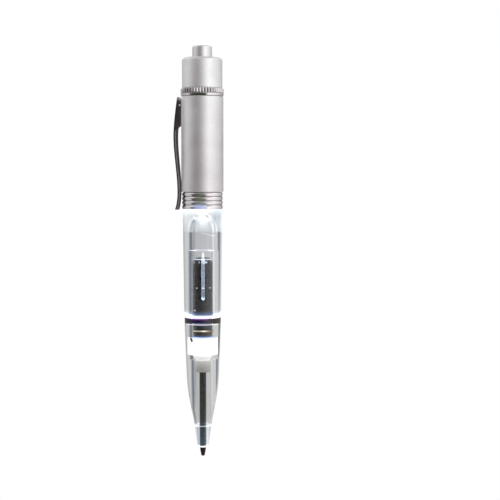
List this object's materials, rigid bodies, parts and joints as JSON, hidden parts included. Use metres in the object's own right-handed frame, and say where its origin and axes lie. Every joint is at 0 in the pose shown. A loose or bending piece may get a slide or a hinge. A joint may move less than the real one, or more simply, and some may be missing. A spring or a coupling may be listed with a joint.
{
  "type": "light-up pen",
  "caption": "Twist ballpoint pen with a tail-switch lamp, button cells in a metal barrel, a clear light guide, a clear turning front and a pocket clip.",
  "frame": {"origin": "the writing point, on the pen's axis, with the refill out", "axes": "+Z along the pen's axis towards the push button, -X towards the clip"},
  "size_m": [0.0169, 0.0144, 0.137],
  "materials": {
    "satin_aluminium": "satin",
    "bright_chrome": "polished",
    "black_nickel": "dark plated",
    "clear_acrylic": "clear, polished",
    "black_gloss": "gloss",
    "white_acetal": "moulded",
    "brass": "turned",
    "spring_steel": "drawn wire",
    "cell_case": "plated",
    "insulator": "translucent",
    "lamp_epoxy": "clear, lit",
    "circuit_board": "solder mask",
    "tinned_lead": "tinned",
    "refill_plastic": "dark, translucent",
    "ink": "wet",
    "bronzed_tip": "bronzed",
    "hard_ball": "polished"
  },
  "bodies": {
    "main_barrel": {"upper_barrel": "satin_aluminium", "grooved_ring": "bright_chrome", "light_guide": "clear_acrylic", "centring_ring": "clear_acrylic", "joint_ring": "black_gloss", "twist_housing": "black_gloss", "friction_ring": "brass", "battery_lower": "cell_case", "battery_middle": "cell_case", "battery_upper": "cell_case", "battery_sleeve": "insulator", "led_lamp": "lamp_epoxy", "led_holder": "white_acetal", "led_board": "circuit_board", "led_anode_lead": "tinned_lead", "led_cathode_lead": "tinned_lead", "led_contact_spring": "spring_steel"},
    "clip": {"pocket_clip": "black_nickel"},
    "switch_pack": {"switch_housing": "black_gloss", "switch_contact": "brass", "tail_spring": "spring_steel", "button_spring": "spring_steel"},
    "cap": {"tail_cap": "satin_aluminium", "knurled_ring": "bright_chrome", "switch_retainer": "brass"},
    "button": {"push_button": "satin_aluminium", "switch_plunger": "white_acetal"},
    "front": {"front_cone": "clear_acrylic", "twist_driver": "white_acetal", "twist_cam": "brass", "cam_collar": "black_gloss"},
    "refill": {"refill_carrier": "black_gloss", "drive_pin": "spring_steel", "refill_tube": "refill_plastic", "ink_column": "ink", "refill_tip": "bronzed_tip", "tip_ball": "hard_ball"}
  },
  "joints": [
    {"name": "cap_rise", "type": "slide", "parent": "main_barrel", "child": "switch_pack", "axis": [0, 0, 1], "range_m": [0, 0.005]},
    {"name": "cap_turn", "type": "hinge", "parent": "switch_pack", "child": "cap", "pos_m": [0, 0, 0.1204], "axis": [0, 0, 1], "range_deg": [0, 1440]},
    {"name": "button_press", "type": "slide", "parent": "switch_pack", "child": "button", "axis": [0, 0, -1], "range_m": [0, 0.0015], "stiffness_N_per_m": 400, "springref_m": -0.001, "deforming": ["button_spring"]},
    {"name": "clip_flex", "type": "hinge", "parent": "main_barrel", "child": "clip", "pos_m": [-0.007, 0, 0.1193], "axis": [0, 1, 0], "range_deg": [0, 4], "stiffness_Nm_per_rad": 1.2},
    {"name": "twist", "type": "hinge", "parent": "main_barrel", "child": "front", "pos_m": [0, 0, 0.0453], "axis": [0, 0, 1], "range_deg": [0, 180]},
    {"name": "refill_slide", "type": "slide", "parent": "main_barrel", "child": "refill", "axis": [0, 0, 1], "range_m": [0, 0.005]}
  ],
  "couplings": [
    {"joint": "cap_turn", "follows": "cap_rise", "rad_per_m": 5026.5},
    {"joint": "twist", "follows": "refill_slide", "rad_per_m": 628.3}
  ]
}
